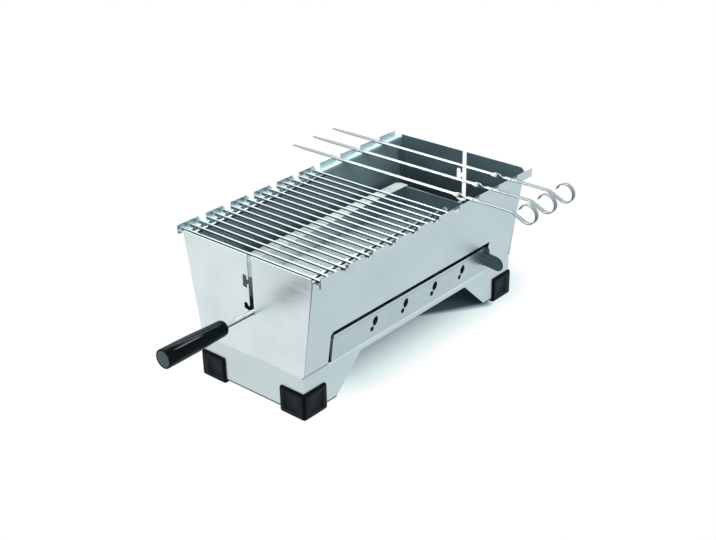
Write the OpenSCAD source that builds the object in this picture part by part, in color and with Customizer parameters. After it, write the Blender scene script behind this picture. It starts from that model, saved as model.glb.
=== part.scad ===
// Tabletop kebab grill: sheet steel trough on a skirt with rubber corner feet, a lift-up charcoal pan
// hung on a shaft with a black grip, an ash drawer with air vents, a wire grate and three skewers.
// Millimetres, +Z up, long side along X, grip end at -X, drawer side at -Y. The origin is on the table,
// under the middle of the whole outline.

/* [Trough] */
// Length of the trough over its end walls
trough_l = 404; // [380:1:460]
// Width of the trough over its long walls, at the bottom
trough_w = 164; // [154:1:180]
// Lean of the long walls from upright, in degrees
wall_lean = 8.4; // [5:0.1:9]
// Height of the end walls
wall_h = 130; // [122:1:150]
// Sheet thickness of the trough
sheet_t = 1; // [0.8:0.1:1.5]
// Width of the side flanges of the end walls
seam_w = 12; // [8:1:18]
// How far the edges of the end walls stand proud of the long walls
end_proud = 0.4; // [0.2:0.1:0.8]
// Radius of the rounded top corner of the rear wall
wall_corner_r = 6; // [2:0.5:9]

/* [Rim] */
// Width of the flat ledge between the bend and the rail
ledge_w = 8.8; // [7:0.1:14]
// How far the ledges lie below the top of the end walls
ledge_drop = 3; // [2:0.5:6]
// Bend radius between wall and ledge
bend_r = 4; // [2:0.5:5]
// Height of the rail above the ledge
rail_up = 6; // [4:0.5:9]
// Height of the rail below the ledge
rail_down = 5; // [3:0.5:8]
// Number of notches in each rail
notch_n = 9; // [5:2:9]
// Width of a notch at the top
notch_w = 12.6; // [10:0.1:16]
// Width of the rounded shoulder beside each notch
notch_round = 3.4; // [2:0.1:4]

/* [Shaft slots] */
// Radial clearance of the shaft in its slot
slot_gap = 0.3; // [0.2:0.05:0.5]
// Sideways place of the upright slot, from the middle
slot_y = -6.5; // [-9:0.1:-5]
// Sideways step from the slot to the hooks
hook_step = 9; // [8:0.1:11]
// Height of the lower hook above the resting shaft
hook_low = 7; // [6:0.5:9]
// Height of the upper hook above the resting shaft
hook_high = 37; // [30:0.5:44]
// Upright length of the upper hook
hook_l = 18; // [14:0.5:20]

/* [Skirt and feet] */
// Height of the trough bottom above the table
base_h = 56.5; // [50:0.5:66]
// Size of the bevel along the folded top edge of the skirt
fold_bevel = 0.8; // [0.2:0.1:0.9]
// Size of the relief notch in each top corner of the skirt
relief = 1.8; // [1.4:0.1:2.4]
// Gap between the skirt and the table
skirt_gap = 5.5; // [3:0.5:8]
// Sheet thickness of the skirt
skirt_t = 1.2; // [1:0.1:1.6]
// Width of the inward top flange of the skirt
flange_w = 14; // [12:1:20]
// Height of the arch opening in the long sides
arch_h = 48; // [40:1:49]
// Length of skirt left standing at each end of the arch
arch_leg = 54; // [50:1:70]
// Length of the slope from the foot of the arch to its top
arch_slope = 45; // [30:1:60]
// Length of each arm of a corner foot
foot_l = 40; // [32:1:44]
// Height of a corner foot
foot_h = 35; // [28:1:40]
// Thickness of the foot outside the skirt
foot_out = 3; // [2:0.5:4]
// Thickness of the foot inside the skirt
foot_in = 4; // [3:0.5:6]
// Bevel along the edges of a foot
foot_bevel = 1.6; // [0.8:0.1:1.9]
// Radius of the upright outer corner of a foot
foot_corner_r = 4; // [2:0.5:6]
// Diameter of the rivet shanks
rivet_d = 3.2; // [3:0.1:4]

/* [Ash drawer] */
// Distance from the front wall to the drawer
drawer_front_land = 45; // [36:1:60]
// Distance from the rear wall to the drawer
drawer_rear_land = 56; // [36:1:70]
// Height of the drawer front
drawer_h = 33; // [28:1:36]
// Depth of the drawer tray
tray_depth = 150; // [110:1:152]
// Height of the tray walls
tray_h = 26; // [20:1:27]
// Gap between the drawer and the opening at its front end
drawer_gap = 3; // [1:0.5:4]
// Gap between the drawer and the opening at its rear end
drawer_rear_gap = 0.5; // [0.3:0.1:3]
// Size of the cut front corner of the opening
mouth_corner = 3.5; // [2:0.5:6]
// Width of the drawer's angle guides
runner_w = 9; // [6:0.5:12]
// Gap above the drawer front
drawer_top_gap = 9; // [7:1:12]
// Height of the folded hem along the top of the front
hem_h = 4; // [3:0.5:6]
// Distance between the air vents
vent_pitch = 57.5; // [50:0.5:60]
// Length of the leaf-shaped vent
leaf_l = 13; // [11:0.5:16]
// Width of the leaf-shaped vent
leaf_w = 9; // [6:0.5:10]
// Diameter of the round vent below each leaf
dot_d = 6.5; // [4:0.5:7]
// Sideways shift of all the vents towards the pull tab
vent_shift = 12; // [0:1:14]
// Height of the middle of a leaf-shaped vent above the trough bottom
leaf_z = 20; // [18:0.5:21]
// Sideways distance between the leaf and the round vent
dot_side = 6.2; // [6:0.1:8]
// Height of the middle of a round vent above the trough bottom
dot_z = 11.8; // [8:0.1:12]
// Reach of the pull tab
tab_l = 29; // [20:1:36]
// Height of the pull tab
tab_h = 20; // [14:1:22]
// Droop of the pull tab, in degrees
tab_droop = 6; // [0:1:8]

/* [Charcoal pan] */
// Room between the ends of the pan and the end walls
pan_end_room = 38; // [30:1:60]
// Room between the pan flanges and the long walls
pan_side_room = 12; // [10:0.5:20]
// Width of the flanges along the pan
pan_flange = 18; // [12:1:24]
// Depth of the pan
pan_depth = 25; // [20:1:28]
// Radius of the outer corners of the flanges
pan_corner_r = 8; // [3:0.5:11]
// Height of the resting pan rim above the trough bottom
pan_rise = 75; // [70:1:78]
// Diameter of the air holes in the pan
hole_d = 7.5; // [6:0.5:9]
// Distance between air holes along the pan
hole_pitch = 77.5; // [60:0.5:80]
// Distance between the rows of air holes
row_pitch = 17.6; // [15:0.1:20]

/* [Shaft and grip] */
// Diameter of the shaft
shaft_d = 6; // [5:0.5:6.5]
// Height of the shaft below the pan rim
shaft_drop = 16.5; // [14:0.5:17]
// Bare length of the shaft outside the front wall
shaft_free = 43; // [35:1:60]
// Length of the grip
grip_l = 91; // [80:1:120]
// Length of the straight outer part of the grip
grip_straight = 40; // [20:1:60]
// Diameter of the grip at its outer end
grip_d = 23; // [20:0.5:26]
// Diameter of the grip at its inner end
grip_d_in = 19.5; // [16:0.5:20]

/* [Wire grate] */
// Number of cross rods
rod_n = 18; // [14:1:20]
// Distance between cross rods
rod_pitch = 13.3; // [12:0.1:13.5]
// Diameter of the cross rods
rod_d = 3; // [2.6:0.1:4]
// Diameter of the two long wires under the rods
rail_wire_d = 4; // [3.5:0.1:5]
// Room between each long wire and the wall beside it
rail_wire_room = 7; // [6:0.5:14]

/* [Skewers] */
// Width of the skewer strip
skewer_w = 6.2; // [5:0.1:8]
// Thickness of the skewer strip
skewer_t = 1.2; // [1:0.1:1.8]
// Reach of the point beyond the far rail
tip_over = 82; // [60:1:100]
// Reach of the loop's middle beyond the near rail
loop_over = 73; // [66:1:90]
// Radius of the loop
loop_r = 12; // [11:0.5:15]
// Length of the half-turn twist inside the near rim
twist_l = 20; // [16:1:22]

/* [Hidden] */
$fn = 48;
eps = 0.2;
seat = 0.3;

half_l = trough_l / 2;
half_w = trough_w / 2;
wall_top = base_h + wall_h;
ledge_z = wall_top - ledge_drop;
box_w_top = half_w + (ledge_z - bend_r - base_h) * tan(wall_lean);
rim_y = box_w_top + bend_r + ledge_w;
notch_pitch = trough_l / (notch_n + 1);
floor_top = base_h + sheet_t;
arch_end = half_l - arch_leg;
drawer_x = (drawer_front_land - drawer_rear_land) / 2;
drawer_w = trough_l - drawer_front_land - drawer_rear_land;
tray_w = drawer_w - 4;

pan_rim_z = base_h + pan_rise;
pan_floor_z = pan_rim_z - pan_depth;
pan_t = 1;
pan_end = half_l - sheet_t - pan_end_room;
pan_side = wall_y(pan_rim_z) - pan_side_room;
pan_w = 2 * (pan_side - pan_flange);
flange_past_end = 5;
shaft_z = pan_rim_z - shaft_drop;
nut_t = 3;
nut_w = 10;
shaft_in = nut_t + 2;
slot_w = shaft_d + 2 * slot_gap;
grip_start = half_l + shaft_free;
grip_end = grip_start + grip_l;
pin_out = 7;

rod_z = ledge_z + rod_d / 2 + seat;
rail_wire_y = box_w_top - rail_wire_room;
rod_half = rim_y - 2 * sheet_t - 1;
rod_first = -half_l + sheet_t + 3 + rod_d / 2;
wire_end = 6;
weld_bite = 0.1;

skewer_z = ledge_z + seat + skewer_t / 2;
tip_reach = rim_y + tip_over;
loop_reach = rim_y + loop_over;
tip_l = 26;
twist_out = half_w + (ledge_z - base_h) * tan(wall_lean) - 4;
loop_rise = 2.6;
dip_angle = 24;
dip_r = 12;
loop_sweep = 277;

shift_x = (grip_end - half_l - max(foot_out, pin_out)) / 2;
shift_y = (loop_reach + loop_r + skewer_t / 2 - tip_reach) / 2;

steel = "lightsteelblue";
rubber = [0.14, 0.15, 0.16];
bright = "whitesmoke";

function wall_y(z) = half_w + (z - base_h) * tan(wall_lean);
function arc(c, r, a0, a1, n) = [for (i = [0:n]) let (a = a0 + (a1 - a0) * i / n)
    [c[0] + r * cos(a), c[1] + r * sin(a)]];
function backwards(p) = [for (i = [len(p) - 1:-1:0]) p[i]];

// Everything is drawn about the trough's own middle and moved once, here
module placed() {
    translate([shift_x, shift_y, 0]) children();
}

// Extrudes a side view, drawn as [y, z], along X between two stations
module along_x(x0, x1) {
    translate([x0, 0, 0]) rotate([90, 0, 90]) linear_extrude(x1 - x0) children();
}

// Extrudes a front view, drawn as [x, z], along Y between two stations
module along_y(y0, y1) {
    translate([0, y1, 0]) rotate([90, 0, 0]) linear_extrude(y1 - y0) children();
}

// Section of the far long wall: leaning sheet, bend and ledge in one outline
module wall_section() {
    c = [box_w_top + bend_r / cos(wall_lean), ledge_z - bend_r];
    from = 180 - wall_lean;
    inner = arc(c, bend_r, from, 90, 8);
    outer = arc(c, bend_r - sheet_t, from, 90, 8);
    slant = sheet_t / cos(wall_lean);
    polygon(concat([[half_w - slant, base_h]],
        [for (p = inner) [p[0], p[1]]], [[rim_y - sheet_t, ledge_z]],
        [[rim_y - sheet_t, ledge_z - sheet_t]], backwards(outer), [[half_w, base_h]]));
}

// Outline of one notch in the rail, seen from the side
module notch_outline() {
    low = ledge_z - eps / 2;
    high = ledge_z + rail_up + eps;
    polygon(concat([[-notch_w / 2, high]],
        arc([-notch_w / 2, low], notch_round, 90, 0, 6),
        [[notch_w / 2, low], [notch_w / 2, high]]));
}

// A long wall with its ledge and its notched, hemmed rail
module long_wall() {
    x = half_l - sheet_t;
    difference() {
        union() {
            along_x(-x, x) wall_section();
            translate([-x, rim_y - sheet_t, ledge_z - rail_down])
                cube([2 * x, sheet_t, rail_down + rail_up]);
            translate([-x, rim_y - 2 * sheet_t, ledge_z - rail_down])
                cube([2 * x, sheet_t, rail_down - sheet_t / 2]);
        }
        for (i = [0:notch_n - 1])
            translate([(i - (notch_n - 1) / 2) * notch_pitch, 0, 0])
                along_y(rim_y - sheet_t - eps, rim_y + eps) notch_outline();
    }
}

module far_wall() {
    color(steel) placed() long_wall();
}

// The near wall has the opening for the ash drawer, up from its bottom edge
module near_wall() {
    x0 = drawer_x - drawer_w / 2 - drawer_gap;
    x1 = drawer_x + drawer_w / 2 + drawer_rear_gap;
    top = base_h + drawer_h + drawer_top_gap;
    color(steel) placed() difference() {
        mirror([0, 1, 0]) long_wall();
        along_y(-rim_y, sheet_t - half_w) polygon([[x0, base_h - eps], [x0, top - mouth_corner],
            [x0 + mouth_corner, top], [x1, top], [x1, base_h - eps]]);
    }
}

// Upright slot with its two hooks, cut right through an end wall
module shaft_slot() {
    hook_y = slot_y + hook_step;
    along_x(-sheet_t, 2 * sheet_t) {
        translate([slot_y, shaft_z]) circle(d = slot_w);
        translate([slot_y - slot_w / 2, shaft_z]) square([slot_w, wall_top - shaft_z + eps]);
        for (h = [hook_low / 2, hook_high])
            translate([slot_y, shaft_z + h - slot_w / 2]) square([hook_step, slot_w]);
        translate([hook_y, shaft_z + hook_low]) circle(d = slot_w);
        translate([hook_y, shaft_z + hook_low / 2]) circle(d = slot_w);
        translate([hook_y - slot_w / 2, shaft_z + hook_low / 2]) square([slot_w, hook_low / 2]);
        for (s = [-1, 1]) translate([hook_y, shaft_z + hook_high + s * (hook_l - slot_w) / 2])
            circle(d = slot_w);
        translate([hook_y - slot_w / 2, shaft_z + hook_high - (hook_l - slot_w) / 2])
            square([slot_w, hook_l - slot_w]);
    }
}

// Outline of an end wall: leaning sides, upright ends above the ledges, one corner rounded
module end_outline(r) {
    top = box_w_top + end_proud;
    foot = half_w + end_proud;
    z1 = ledge_z - bend_r;
    polygon(concat([[-foot, base_h], [foot, base_h], [top, z1], [top, wall_top]],
        arc([-top + r, wall_top - r], r, 90, 180, 6), [[-top, z1]]));
}

// An end wall with its slot and the side flanges that are welded inside the long walls
module end_wall(r) {
    z0 = base_h + 3;
    z1 = ledge_z - bend_r - 6;
    skin = sheet_t / cos(wall_lean);
    difference() {
        along_x(0, sheet_t) end_outline(r);
        shaft_slot();
    }
    for (s = [-1, 1]) along_x(sheet_t, sheet_t + seam_w)
        polygon([for (p = [[skin, z0], [skin, z1], [2 * skin, z1], [2 * skin, z0]])
            [s * (wall_y(p[1]) - p[0]), p[1]]]);
}

module front_wall() {
    color(steel) placed() translate([-half_l, 0, 0]) end_wall(sheet_t);
}

module rear_wall() {
    color(steel) placed() translate([half_l, 0, 0]) mirror([1, 0, 0]) end_wall(wall_corner_r);
}

// Places of the rivets that hold the floor plate to the skirt flange
function rivet_spots() = [for (x = [-1, 1], y = [-1, 0, 1])
    [x * (half_l - flange_w / 2 - skirt_t), y * (half_w - flange_w / 2 - 6)]];

module rivet_holes() {
    for (p = rivet_spots()) translate([p[0], p[1], base_h - 2 * skirt_t])
        cylinder(d = rivet_d, h = 3 * skirt_t + sheet_t);
}

// Corner that the fold takes off the top edge of the skirt, this far from the middle
module fold_cut(out) {
    polygon([[out - fold_bevel, base_h + eps], [out + eps, base_h + eps],
        [out + eps, base_h - fold_bevel], [out, base_h - fold_bevel], [out - fold_bevel, base_h]]);
}

// Skirt: four aprons and a top flange, with an arch in each long side
module base_frame() {
    deep = half_w - skirt_t;
    color(steel) placed() difference() {
        translate([-half_l, -half_w, skirt_gap]) cube([trough_l, trough_w, base_h - skirt_gap]);
        translate([-half_l + skirt_t, -deep, skirt_gap - eps])
            cube([trough_l - 2 * skirt_t, 2 * deep, base_h - skirt_gap - skirt_t + eps]);
        translate([-half_l + flange_w, -half_w + flange_w, base_h - 2 * skirt_t])
            cube([trough_l - 2 * flange_w, trough_w - 2 * flange_w, 3 * skirt_t]);
        along_y(-half_w - eps, half_w + eps) polygon([[-arch_end, skirt_gap - eps],
            [arch_slope - arch_end, arch_h], [arch_end - arch_slope, arch_h],
            [arch_end, skirt_gap - eps]]);
        for (s = [0, 1]) {
            mirror([0, s, 0]) along_x(-half_l - eps, half_l + eps) fold_cut(half_w);
            mirror([s, 0, 0]) along_y(-half_w - eps, half_w + eps) fold_cut(half_l);
        }
        for (x = [-1, 1], y = [-1, 1]) translate([x * half_l, y * half_w, base_h])
            cube(2 * relief, center = true);
        rivet_holes();
    }
}

module floor_plate() {
    y = half_w - sheet_t / cos(wall_lean);
    color(steel) placed() difference() {
        translate([-half_l + sheet_t, -y, base_h]) cube([trough_l - 2 * sheet_t, 2 * y, sheet_t]);
        rivet_holes();
    }
}

// Rivets with a dome above the floor plate and a flat head below the flange
module base_rivets() {
    low = base_h - skirt_t;
    color(bright) placed() for (p = rivet_spots()) translate([p[0], p[1], low]) {
        cylinder(d = rivet_d, h = skirt_t + sheet_t);
        translate([0, 0, -1]) cylinder(d = 2 * rivet_d, h = 1);
        translate([0, 0, skirt_t + sheet_t]) cylinder(d1 = 2 * rivet_d, d2 = rivet_d, h = 1.2);
    }
}

// Plan outline of a foot: two arms, with its outer corner at [0, 0] and the arms along +x and +y
module foot_plan(reach, thick) {
    b = foot_bevel;
    r = foot_corner_r;
    polygon(concat(arc([r, r], r, 180, 270, 6), [[reach - b, 0], [reach, b], [reach, thick],
        [thick, thick], [thick, reach], [b, reach], [0, reach - b]]));
}

// Rubber foot that grips the skirt in a slot and has bevelled outer edges
module foot() {
    outer = foot_out + skirt_t;
    full = outer + foot_in;
    difference() {
        union() {
            linear_extrude(foot_h) foot_plan(foot_l, outer);
            linear_extrude(foot_h / 2) foot_plan(foot_l, full);
        }
        translate([foot_out, foot_out, skirt_gap]) difference() {
            cube([foot_l + eps, foot_l + eps, foot_h]);
            translate([skirt_t, skirt_t, -eps]) cube([foot_l + 1, foot_l + 1, foot_h + 1]);
        }
        for (flip = [0, 1]) mirror([flip, -flip, 0])
            translate([-eps, 0, foot_h - foot_bevel]) rotate([45, 0, 0])
                cube([foot_l + 1, foot_out + skirt_t, 2 * foot_bevel]);
    }
}

// Moves a foot to one corner of the skirt, turned to suit
module foot_at(sx, sy) {
    color(rubber) placed() translate([sx * (half_l + foot_out), sy * (half_w + foot_out), 0])
        mirror([sx > 0 ? 1 : 0, 0, 0]) mirror([0, sy > 0 ? 1 : 0, 0]) foot();
}

module foot_front_near() { foot_at(-1, -1); }
module foot_front_far() { foot_at(-1, 1); }
module foot_rear_near() { foot_at(1, -1); }
module foot_rear_far() { foot_at(1, 1); }

// Angle guides on the floor plate, one at each end of the drawer
module runner(side) {
    run = tray_depth - 4;
    x = drawer_x + side * (tray_w / 2 + seat);
    translate([x, -half_w + 4, floor_top]) mirror([side < 0 ? 1 : 0, 0, 0]) {
        cube([sheet_t, run, tray_h - 4]);
        cube([runner_w, run, sheet_t]);
    }
}

module runner_front() { color(steel) placed() runner(-1); }
module runner_rear() { color(steel) placed() runner(1); }

// Open tray that catches the ash
module drawer_tray() {
    color(steel) placed() translate([drawer_x - tray_w / 2, -half_w, floor_top]) difference() {
        cube([tray_w, tray_depth, tray_h]);
        translate([sheet_t, sheet_t, sheet_t])
            cube([tray_w - 2 * sheet_t, tray_depth - 2 * sheet_t, tray_h]);
        translate([tray_w / 2, 0, 0]) vents(-eps, 2 * sheet_t, floor_top);
    }
}

// Leaf shape between two arcs, upright, with its points up and down
module leaf() {
    r = (leaf_l * leaf_l + leaf_w * leaf_w) / (4 * leaf_w);
    a = asin(leaf_l / 2 / r);
    off = r - leaf_w / 2;
    polygon(concat(arc([-off, 0], r, -a, a, 10), arc([off, 0], r, 180 - a, 180 + a, 10)));
}

// Four pairs of air vents, cut between two depths and drawn from a given height up
module vents(y0, y1, z0) {
    for (i = [-1.5:1:1.5]) along_y(y0, y1) translate([i * vent_pitch + vent_shift, base_h - z0]) {
        translate([dot_side / 2, leaf_z]) rotate(-24) leaf();
        translate([-dot_side / 2, dot_z]) circle(d = dot_d);
    }
}

// Drawer front with its hem, vents and the pull tab bent out of its rear end
module drawer_front() {
    y0 = -half_w - sheet_t;
    x1 = drawer_x + drawer_w / 2;
    tab_mid = base_h + drawer_h / 2;
    color(steel) placed() {
        difference() {
            union() {
                along_y(y0, -half_w) translate([drawer_x, base_h + seat]) polygon([
                    [-drawer_w / 2, 0], [drawer_w / 2, 0], [drawer_w / 2, drawer_h - seat],
                    [-drawer_w / 2 + 4, drawer_h - seat], [-drawer_w / 2, drawer_h - 4]]);
                translate([drawer_x - drawer_w / 2 + 6, y0 - sheet_t / 2,
                    base_h + drawer_h - hem_h]) cube([drawer_w - 10, sheet_t, hem_h]);
            }
            translate([drawer_x, 0, 0]) vents(y0 - eps, -half_w + eps, 0);
            translate([x1 - 11, y0 - 1, tab_mid]) rotate([-90, 0, 0]) cylinder(d = 3, h = 3);
        }
        along_x(x1 - sheet_t, x1) difference() {
            translate([y0, tab_mid]) rotate(tab_droop) translate([tab_h / 2 - tab_l, 0]) {
                circle(d = tab_h);
                translate([0, -tab_h / 2]) square([tab_l, tab_h]);
            }
            translate([y0 + sheet_t / 2, base_h]) square([tab_l, drawer_h]);
        }
    }
}

// Air holes in four staggered rows
module pan_holes() {
    for (row = [-1.5:1:1.5]) {
        wide = abs(row) > 1;
        for (x = wide ? [-1.5:1:1.5] : [-1:1:1])
            translate([x * hole_pitch, row * row_pitch, pan_floor_z - 2 * pan_t])
                cylinder(d = hole_d, h = 4 * pan_t);
    }
}

// Flange strip along one side of the pan, with rounded outer corners
module pan_flange_strip() {
    r = pan_corner_r;
    x = pan_end + flange_past_end;
    linear_extrude(pan_t) {
        translate([-x, pan_w / 2]) square([2 * x, pan_flange - r]);
        translate([r - x, pan_w / 2]) square([2 * (x - r), pan_flange]);
        for (s = [-1, 1]) translate([s * (x - r), pan_side - r]) circle(r = r);
    }
}

// Open perforated pan with side flanges and a hole for the shaft in each end
module charcoal_pan() {
    y = pan_w / 2 + pan_t;
    color(steel) placed() difference() {
        union() {
            translate([-pan_end, -y, pan_floor_z - pan_t])
                cube([2 * pan_end, 2 * y, pan_depth + pan_t]);
            for (s = [0, 1]) mirror([0, s, 0]) translate([0, 0, pan_rim_z - pan_t])
                pan_flange_strip();
        }
        translate([pan_t - pan_end, -pan_w / 2, pan_floor_z])
            cube([2 * (pan_end - pan_t), pan_w, pan_depth + eps]);
        pan_holes();
        for (x = [-pan_end, pan_end - pan_t]) translate([x - 1, slot_y, shaft_z])
            rotate([0, 90, 0]) cylinder(d = shaft_d, h = pan_t + 2);
    }
}

// Steel shaft from inside the pan, through the front slot, into the grip
module lift_shaft() {
    x0 = -grip_start - grip_l * 0.6;
    color(bright) placed() translate([x0, slot_y, shaft_z]) rotate([0, 90, 0])
        cylinder(d = shaft_d, h = -pan_end + pan_t + shaft_in - x0);
}

// Short pin that hangs the rear end of the pan in the rear slot
module rear_pin() {
    color(bright) placed() translate([pan_end - pan_t - shaft_in, slot_y, shaft_z])
        rotate([0, 90, 0]) {
            cylinder(d = shaft_d, h = half_l + pin_out - 1.5 - (pan_end - pan_t - shaft_in));
            translate([0, 0, half_l + pin_out - 1.5 - (pan_end - pan_t - shaft_in)])
                cylinder(d1 = shaft_d, d2 = shaft_d - 2, h = 1.5);
        }
}

// Nuts on both sides of each end of the pan
module pan_nuts() {
    color(bright) placed() for (x = [-pan_end - nut_t, -pan_end + pan_t,
            pan_end - pan_t - nut_t, pan_end])
        translate([x, slot_y, shaft_z]) rotate([0, 90, 0]) difference() {
            cylinder(d = nut_w / cos(30), h = nut_t, $fn = 6);
            translate([0, 0, -1]) cylinder(d = shaft_d, h = nut_t + 2);
        }
}

// Half outline of the grip, from its outer end to its rounded inner end
module grip_half() {
    r = grip_d / 2;
    r_in = grip_d_in / 2;
    round_in = 6;
    polygon(concat([[0, 0]], arc([r - 1, 1], 1, -90, 0, 4), [[r, grip_straight]],
        [for (p = arc([r_in - round_in, grip_l - round_in], round_in, 0, 90, 8)) p],
        [[0, grip_l]]));
}

// Tapered moulded grip, bored for the shaft and recessed for its end cap
module grip() {
    color(rubber) placed() translate([-grip_end, slot_y, shaft_z]) rotate([0, 90, 0])
        difference() {
            rotate_extrude() grip_half();
            translate([0, 0, grip_l * 0.4]) cylinder(d = shaft_d, h = grip_l);
            translate([0, 0, -eps]) cylinder(d = cap_d(), h = cap_t() + eps);
        }
}

function cap_d() = grip_d - 3;
function cap_t() = 2.5;

module grip_cap() {
    color("slategray") placed() translate([-grip_end + 0.4, slot_y, shaft_z]) rotate([0, 90, 0])
        cylinder(d = cap_d(), h = cap_t() - 0.4);
}

// Cross rods that rest on both ledges
module grate_rods() {
    color(bright) placed() for (i = [0:rod_n - 1])
        translate([rod_first + i * rod_pitch, -rod_half, rod_z]) rotate([-90, 0, 0])
            cylinder(d = rod_d, h = 2 * rod_half);
}

// Long wires welded under the rods, just inside the walls
module grate_wires() {
    run = (rod_n - 1) * rod_pitch;
    z = rod_z - rod_d / 2 - rail_wire_d / 2 + weld_bite;
    color(bright) placed() for (s = [-1, 1])
        translate([rod_first - 2, s * rail_wire_y, z]) rotate([0, 90, 0])
            cylinder(d = rail_wire_d, h = run + 2 + wire_end);
}

// Middle line of the handle, as [distance out, height], from the twist to the end of the loop
function handle_line() = let (
    c = [loop_reach, skewer_z + loop_rise],
    t = [c[0] - loop_r * sin(dip_angle), c[1] - loop_r * cos(dip_angle)],
    low = skewer_z - dip_r * (1 - cos(dip_angle)),
    s = (low - t[1]) / sin(dip_angle),
    u = t[0] - s * cos(dip_angle) - dip_r * sin(dip_angle))
    concat([[twist_out, skewer_z, 0]],
        [for (i = [0:5]) let (a = dip_angle * i / 5)
            [u + dip_r * sin(a), skewer_z - dip_r * (1 - cos(a)), -a]],
        [for (i = [0:24]) let (a = -90 - dip_angle + loop_sweep * i / 24)
            [c[0] + loop_r * cos(a), c[1] + loop_r * sin(a), a + 90]]);

// The strip on edge: its middle line with half the thickness on each side
module handle_outline() {
    line = handle_line();
    half = skewer_t / 2;
    polygon(concat(
        [for (p = line) [-(p[0] - half * sin(p[2])), p[1] + half * cos(p[2])]],
        [for (p = backwards(line)) [-(p[0] + half * sin(p[2])), p[1] - half * cos(p[2])]]));
}

// Flat skewer: pointed blade, half-turn twist, and a strip handle that ends in an open loop
module skewer(notch) {
    w = skewer_w;
    x = (notch - (notch_n + 1) / 2) * notch_pitch + notch_round / 2;
    y1 = -twist_out + twist_l;
    color(bright) placed() translate([x, 0, 0]) {
        translate([0, 0, skewer_z - skewer_t / 2]) linear_extrude(skewer_t)
            polygon([[-w / 2, y1 - eps], [w / 2, y1 - eps], [w / 2, tip_reach - tip_l],
                [0.8, tip_reach], [-0.8, tip_reach], [-w / 2, tip_reach - tip_l]]);
        translate([0, y1, skewer_z]) rotate([90, 0, 0])
            linear_extrude(twist_l, twist = -180, slices = 16) square([w, skewer_t], center = true);
        along_x(-w / 2, w / 2) handle_outline();
    }
}

module skewer_1() { skewer(7); }
module skewer_2() { skewer(8); }
module skewer_3() { skewer(9); }

base_frame();
floor_plate();
near_wall();
far_wall();
front_wall();
rear_wall();
foot_front_near();
foot_front_far();
foot_rear_near();
foot_rear_far();
base_rivets();
runner_front();
runner_rear();
drawer_tray();
drawer_front();
charcoal_pan();
lift_shaft();
rear_pin();
pan_nuts();
grip();
grip_cap();
grate_rods();
grate_wires();
skewer_1();
skewer_2();
skewer_3();
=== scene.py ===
import math

import bmesh
import bpy
from mathutils import Matrix, Vector

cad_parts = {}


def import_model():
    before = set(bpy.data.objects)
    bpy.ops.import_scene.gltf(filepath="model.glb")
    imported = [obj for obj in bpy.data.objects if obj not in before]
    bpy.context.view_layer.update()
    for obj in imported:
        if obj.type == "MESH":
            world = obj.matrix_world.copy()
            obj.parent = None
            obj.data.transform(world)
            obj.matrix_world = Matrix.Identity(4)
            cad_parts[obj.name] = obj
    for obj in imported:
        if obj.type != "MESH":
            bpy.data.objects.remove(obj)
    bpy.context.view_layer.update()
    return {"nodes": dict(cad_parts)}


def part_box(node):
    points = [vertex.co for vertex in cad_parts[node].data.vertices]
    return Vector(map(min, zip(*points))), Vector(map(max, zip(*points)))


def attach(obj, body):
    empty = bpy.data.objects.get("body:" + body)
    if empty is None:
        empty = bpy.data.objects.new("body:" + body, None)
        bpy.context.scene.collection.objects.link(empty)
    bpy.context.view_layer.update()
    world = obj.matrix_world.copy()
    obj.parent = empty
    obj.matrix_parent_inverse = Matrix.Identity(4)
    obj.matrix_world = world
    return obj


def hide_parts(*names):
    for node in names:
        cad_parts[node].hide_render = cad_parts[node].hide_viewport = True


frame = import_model()
node = frame["nodes"]
mm = 0.001


# The camera stands at the photograph's place, looking down on the corner beside the grip. Its
# distance, its turn and its lens were fitted to the corners of the trough and the skirt.
camera_place = Vector((-0.98777, -0.90881, 0.78677))
camera_turn = math.radians(-48.8)
camera_down = math.radians(26.69)
camera_roll = math.radians(-1.13)
camera_lens = 62.27
camera = bpy.data.objects.new("camera", bpy.data.cameras.new("camera"))
camera.data.lens = camera_lens
camera.data.clip_start = 0.01
camera.rotation_euler = (Matrix.Rotation(camera_turn, 4, "Z")
                         @ Matrix.Rotation(math.radians(90) - camera_down, 4, "X")
                         @ Matrix.Rotation(camera_roll, 4, "Z")).to_euler()
camera.location = camera_place
bpy.context.scene.collection.objects.link(camera)
bpy.context.scene.camera = camera
bpy.context.scene.view_settings.view_transform = "Standard"


# The studio is a white surround with a wide softbox overhead, one at the back and one at the left,
# and two narrow ones that draw streaks on round metal and on the grip. Under the grill the table is
# painted dark and takes the real shadow. In two turned boxes round it, its glow is a painted shadow
# that fades from a painted blue shade to pure white farther out, as a cut-out background does.
def add_node(tree, kind, **settings):
    made = tree.nodes.new(kind)
    for key, value in settings.items():
        setattr(made, key, value)
    return made


def seen_directly(tree):
    """1 where the camera, a reflection or glass looks at the surface, 0 for soft bounced light."""
    path = add_node(tree, "ShaderNodeLightPath")
    first = add_node(tree, "ShaderNodeMath", operation="MAXIMUM")
    both = add_node(tree, "ShaderNodeMath", operation="MAXIMUM")
    tree.links.new(path.outputs["Is Camera Ray"], first.inputs[0])
    tree.links.new(path.outputs["Is Glossy Ray"], first.inputs[1])
    tree.links.new(first.outputs[0], both.inputs[0])
    tree.links.new(path.outputs["Is Transmission Ray"], both.inputs[1])
    return both.outputs[0]


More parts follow.
